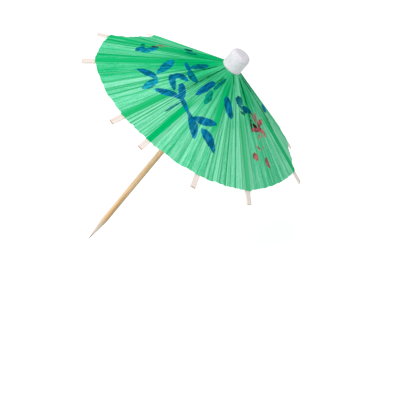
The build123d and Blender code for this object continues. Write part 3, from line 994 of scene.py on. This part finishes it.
# %% [markdown]
# ## Bamboo pick
#
# A pick is a splint of bamboo, rounded and sharpened, and the cut point is greyer. One side is painted
# paler as light and the other darker as shade. The CAD shape is kept, here and for all that follows. A
# picture of wood could be wrapped round it, but that leaves a seam. Noise on Object coordinates, drawn out
# along the pick, has none, and the point and the painted light and shade of the two sides follow from the
# coordinates themselves.

# %% Bamboo pick
BAMBOO = {
    "pale fibre": colour(253, 217, 174),
    "dark fibre": colour(214, 163, 106),
    "blotch": colour(232, 184, 130),
    "point": colour(226, 210, 196),
    "tip": colour(176, 166, 156),
    # Painted light on one side of the pick and painted shade on the other
    "painted light side": colour(244, 236, 222),
    "painted shade side": colour(212, 218, 224),
}
CANE_FIBRES = (2600, 2600, 60)
CANE_BLOTCHES = (300, 300, 40)
FIBRES_SHOW = (0.3, 0.7)
BLOTCHES_SHOW = (0.5, 0.75)
POINT_FROM, POINT_TO, TIP_TO = 3 * MM, -5 * MM, -10 * MM
# Where the painted light and the painted shade on the pick's two sides begin and end
LIT_SIDE_FROM, SHADED_SIDE_FROM, PICK_SIDE = -0.1 * MM, 0.0, 1.1 * MM
LIT_SIDE_SHARE = 0.55


def bamboo():
    """Golden bamboo: long fibres and blotches, the point by height, and painted light and shade on the sides
    by X.
    """
    made, tree, shader = finish("bamboo", roughness=0.55, specular=0.3)
    spot = object_spot(tree)
    fibres = grain(tree, spot, CANE_FIBRES, detail=3.0)
    blotch = grain(tree, spot, CANE_BLOTCHES, detail=2.0)
    tan = mixed(tree, stepped(tree, fibres, *FIBRES_SHOW), BAMBOO["pale fibre"], BAMBOO["dark fibre"])
    tan = mixed(tree, stepped(tree, blotch, *BLOTCHES_SHOW), tan, BAMBOO["blotch"])
    side, _, height = node(tree, "SeparateXYZ", {0: spot}).outputs
    tan = mixed(tree, stepped(tree, height, POINT_FROM, POINT_TO), tan, BAMBOO["point"])
    tan = mixed(tree, stepped(tree, height, POINT_TO, TIP_TO), tan, BAMBOO["tip"])
    # Painted light on the side towards -X, and painted shade on the side towards +X
    inside = sums(tree, "MULTIPLY", stepped(tree, side, LIT_SIDE_FROM, -PICK_SIDE), LIT_SIDE_SHARE)
    tan = mixed(tree, inside, tan, BAMBOO["painted light side"])
    tan = mixed(tree, stepped(tree, side, SHADED_SIDE_FROM, PICK_SIDE), tan, BAMBOO["painted shade side"], "MULTIPLY")
    coat(tree, shader, tan, fibres, depth=0.03 * MM)
    return made


def dress(name, material):
    """Give a CAD node one material in place of its own."""
    mesh = frame["nodes"][name].data
    mesh.materials.clear()
    mesh.materials.append(material)


dress("pick", bamboo())
print("pick dressed")

# %% [markdown]
# ## Ribs and struts
#
# The slats are split from pale wood, so the grain runs along each one and the sawn ends are darker. One
# material for all would send the grain the same way on every slat. So each rib's material turns the
# coordinates by its own azimuth and slope before it stretches the noise, and finds the end by its normal.
# A strut shares the material of the rib above it.

# %% Ribs and struts
SLAT = {
    "pale": colour(255, 244, 238),
    "grain": colour(245, 229, 219),
    "pore": colour(226, 204, 190),
    "cut end": colour(196, 162, 138),
}
SLAT_FIBRES = (50, 1400, 1400)
SLAT_PORES = (120, 3200, 3200)
PORES_SHOW = (0.6, 0.8)
END_FACES = (0.6, 0.9)


def slat_wood(name, matrix):
    """Pale pinkish wood with grain along a slat, faint darker pores and a darker outer end."""
    made, tree, shader = finish(name, roughness=0.7, specular=0.2)
    turn = tuple(matrix.inverted().to_euler())
    spot = object_spot(tree)
    fibres = grain(tree, spot, SLAT_FIBRES, turn, detail=3.0)
    pores = grain(tree, spot, SLAT_PORES, turn, detail=2.0)
    pale = mixed(tree, stepped(tree, fibres, *FIBRES_SHOW), SLAT["pale"], SLAT["grain"])
    pale = mixed(tree, stepped(tree, pores, *PORES_SHOW), pale, SLAT["pore"])
    normal = node(tree, "TexCoord").outputs["Normal"]
    faced = node(tree, "VectorMath", {0: normal, 1: tuple(matrix.col[0])}, operation="DOT_PRODUCT")
    pale = mixed(tree, stepped(tree, faced.outputs["Value"], *END_FACES), pale, SLAT["cut end"])
    coat(tree, shader, pale, fibres, depth=0.02 * MM)
    return made


for rib, mark in enumerate(marks):
    along = rib_out[rib] * np.cos(rib_slopes[rib]) - np.array((0, 0, np.sin(rib_slopes[rib])))
    axes = np.column_stack((along, rib_side[rib], np.cross(along, rib_side[rib])))
    wood = slat_wood(f"slat_wood_{mark}", Matrix(axes.tolist()))
    dress(f"rib_{mark}", wood)
    dress(f"strut_{mark}", wood)
print("slats dressed:", 2 * RIBS)

# %% [markdown]
# ## Cap
#
# The plug on top is white and matt, with a grainy skin. Modelled grains would be too many faces for so small
# a thing, so noise makes the lumps as a bump and tints them, and finer noise adds a few grey specks.

# %% Cap
CAP = {
    "light": colour(241, 238, 244),
    "dark": colour(229, 226, 234),
    "speck": colour(208, 205, 213),
}
CAP_LUMPS = (900, 900, 900)
CAP_SPECKS = (2200, 2200, 2200)
LUMPS_SHOW = (0.35, 0.7)
SPECKS_SHOW = (0.6, 0.8)


def cap_white():
    """Matt white with a fine grain and a few grey specks."""
    made, tree, shader = finish("cap_white", roughness=0.85, specular=0.15)
    spot = object_spot(tree)
    lumps = grain(tree, spot, CAP_LUMPS)
    specks = grain(tree, spot, CAP_SPECKS, detail=2.0)
    white = mixed(tree, stepped(tree, lumps, *LUMPS_SHOW), CAP["light"], CAP["dark"])
    white = mixed(tree, stepped(tree, specks, *SPECKS_SHOW), white, CAP["speck"])
    coat(tree, shader, white, lumps, depth=0.1 * MM)
    return made


dress("cap", cap_white())
print("cap dressed")

# %% [markdown]
# ## Threads, collars and ring
#
# Under the canopy sit the threads that tie the slats, two collars of rolled paper, a turned hub and a moulded
# ring. They are small and mostly in shade, so one recipe serves them all: two close tones, mixed by noise
# that is stretched as the material grows or is rolled.

# %% Threads, collars and ring
MOTTLE_SHOWS = (0.35, 0.65)


def speckled(name, light, dark, stretch, roughness):
    """Two close tones of one finish, light and dark, mixed by noise that is stretched by axis."""
    made, tree, shader = finish(name, roughness)
    mottle = grain(tree, object_spot(tree), stretch)
    tone = mixed(tree, stepped(tree, mottle, *MOTTLE_SHOWS), colour(*light), colour(*dark))
    coat(tree, shader, tone, mottle, depth=0.02 * MM)
    return made


thread = speckled("waxed_thread", (232, 226, 210), (196, 188, 168), (4000, 4000, 4000), roughness=0.8)
rolled = speckled("rolled_paper", (226, 220, 204), (204, 196, 178), (300, 300, 2400), roughness=0.85)
turned = speckled("hub_wood", (226, 202, 164), (202, 172, 130), (1800, 1800, 120), roughness=0.7)
moulded = speckled("ring_plastic", (244, 243, 240), (232, 231, 228), (700, 700, 700), roughness=0.35)
for name in ["hub_thread"] + [f"strut_tie_{mark}" for mark in marks]:
    dress(name, thread)
dress("spacer_sleeve", rolled)
dress("runner", rolled)
dress("hub", turned)
dress("retainer_ring", moulded)
print("small parts dressed")
